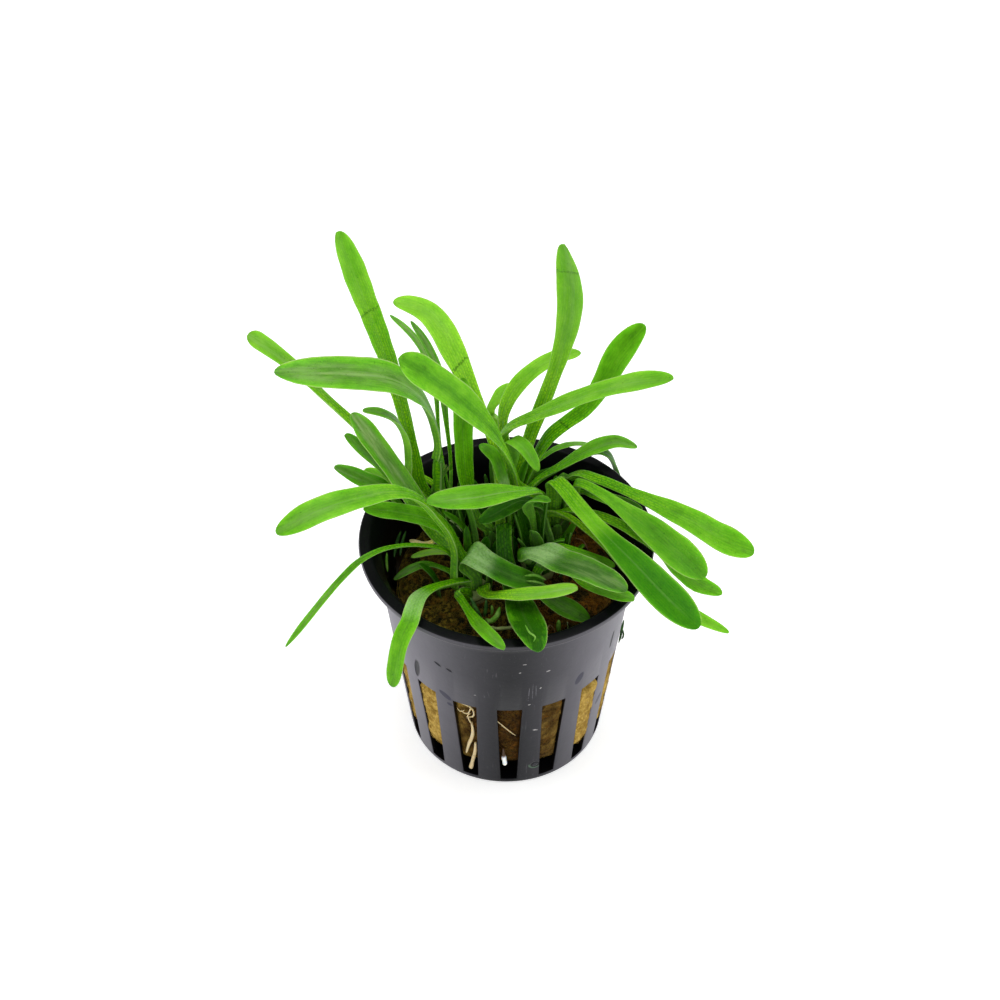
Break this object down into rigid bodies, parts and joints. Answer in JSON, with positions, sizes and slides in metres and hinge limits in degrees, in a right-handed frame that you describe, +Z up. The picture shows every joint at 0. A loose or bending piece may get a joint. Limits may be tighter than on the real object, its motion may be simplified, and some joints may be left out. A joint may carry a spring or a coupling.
{
  "type": "potted dwarf sagittaria",
  "caption": "Dwarf aquarium plant with strap-shaped green leaves that arch from a plug of stone wool in a small slotted black nursery pot.",
  "frame": {"origin": "centre of the underside of the pot, on the ground", "axes": "+Z up along the pot's axis, -Y towards the front of the plant as pictured, +X to its right"},
  "size_m": [0.0936, 0.0596, 0.1045],
  "materials": {
    "pot": "semi-gloss black plastic, lightly scuffed",
    "wool": "wet brown mineral fibre, stained with algae",
    "crown": "pale green, smooth and moist",
    "leaf": "fresh green, satin, slightly translucent",
    "root": "cream, smooth and moist"
  },
  "bodies": {
    "root": {"crown_centre": "crown", "crown_front": "crown", "crown_left": "crown", "crown_middle": "crown", "crown_rear": "crown", "crown_right": "crown", "leaf_centre_dark_front": "leaf", "leaf_centre_dark_tip": "leaf", "leaf_centre_glossy": "leaf", "leaf_centre_hooked": "leaf", "leaf_centre_thin": "leaf", "leaf_centre_under": "leaf", "leaf_front_bent": "leaf", "leaf_front_big_left": "leaf", "leaf_front_inner_left": "leaf", "leaf_front_level": "leaf", "leaf_front_long_left": "leaf", "leaf_front_over_rim": "leaf", "leaf_front_pale": "leaf", "leaf_front_small": "leaf", "leaf_front_thin_left": "leaf", "leaf_front_under_left": "leaf", "leaf_left_behind": "leaf", "leaf_left_dark": "leaf", "leaf_left_far": "leaf", "leaf_left_hooked": "leaf", "leaf_left_level": "leaf", "leaf_left_light": "leaf", "leaf_left_tall": "leaf", "leaf_left_thin_back": "leaf", "leaf_left_thin_tall": "leaf", "leaf_left_yellow": "leaf", "leaf_middle_curved": "leaf", "leaf_middle_drooping": "leaf", "leaf_middle_tall": "leaf", "leaf_middle_upright": "leaf", "leaf_rear_arched": "leaf", "leaf_rear_light": "leaf", "leaf_rear_long_right": "leaf", "leaf_rear_medium": "leaf", "leaf_rear_over_rim": "leaf", "leaf_rear_short": "leaf", "leaf_rear_tall": "leaf", "leaf_rear_thin": "leaf", "leaf_rear_upper_right": "leaf", "leaf_right_arching": "leaf", "leaf_right_broad": "leaf", "leaf_right_far": "leaf", "leaf_right_level": "leaf", "leaf_right_long": "leaf", "leaf_right_low": "leaf", "leaf_right_short": "leaf", "leaf_right_side": "leaf", "old_stem": "root", "pot": "pot", "root_curled": "root", "root_front_tip": "root", "root_thick_lower": "root", "root_thick_upper": "root", "stone_wool": "wool"}
  },
  "joints": []
}
